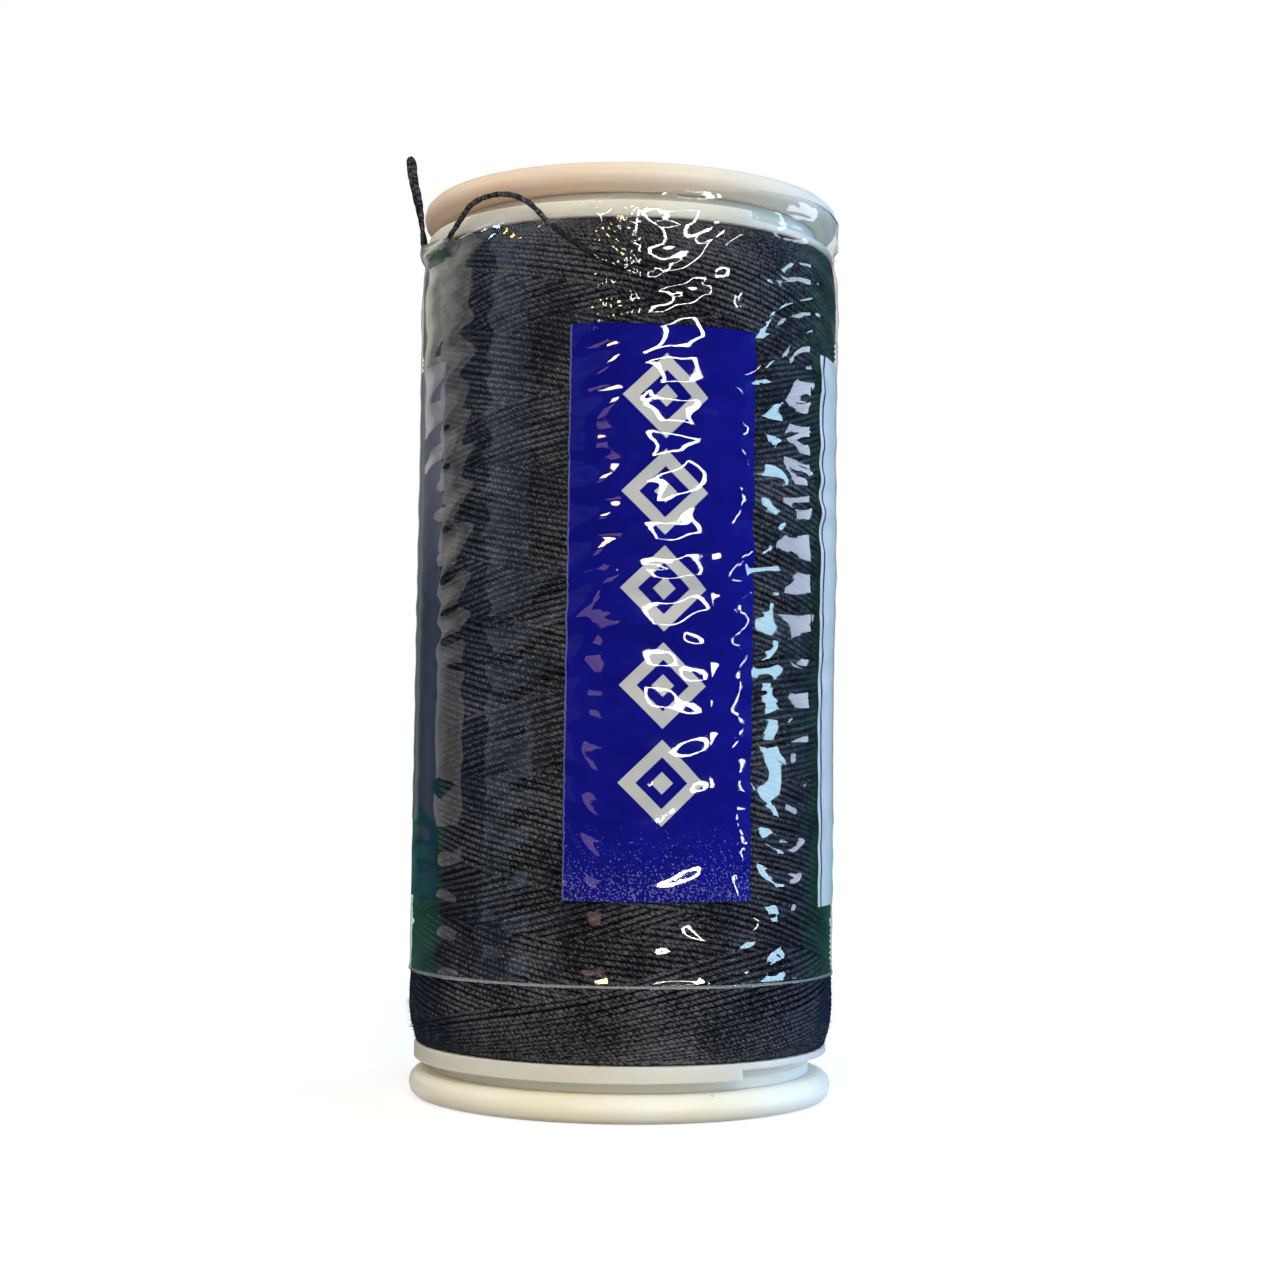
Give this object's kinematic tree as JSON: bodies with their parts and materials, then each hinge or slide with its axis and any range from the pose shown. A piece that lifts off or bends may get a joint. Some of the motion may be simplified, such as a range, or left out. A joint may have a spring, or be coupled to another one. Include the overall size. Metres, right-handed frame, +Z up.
{
  "type": "spool of thread",
  "caption": "Small snap-together plastic spool wound with dark sewing thread, its free end caught at the upper rim, in a torn clear film sleeve.",
  "frame": {"origin": "centre of the lower end face, on the axis of the spool", "axes": "+Z up the axis of the spool, -Y towards the side that the picture shows, +X to its right"},
  "size_m": [0.0246, 0.0234, 0.0522],
  "materials": {
    "barrel_plastic": "moulded, satin, faintly translucent",
    "bottom_cap_plastic": "moulded, satin, cream, fine dark specks",
    "top_cap_plastic": "moulded, satin, peach ivory, fine dark specks",
    "thread": "spun sewing thread, matt with short fuzz",
    "clear_film": "clear shrink film, glossy, creased"
  },
  "bodies": {
    "spool": {"spool_barrel": "barrel_plastic", "thread_core": "thread", "thread_outer_turns": "thread", "thread_tail": "thread", "film_sleeve": "clear_film"},
    "top_cap": {"top_end_cap": "top_cap_plastic"},
    "bottom_cap": {"bottom_end_cap": "bottom_cap_plastic"}
  },
  "joints": [
    {"name": "top_cap_slide", "type": "slide", "parent": "spool", "child": "top_cap", "axis": [0, 0, 1], "range_m": [0, 0.0012]},
    {"name": "bottom_cap_slide", "type": "slide", "parent": "spool", "child": "bottom_cap", "axis": [0, 0, -1], "range_m": [0, 0.0012]}
  ]
}
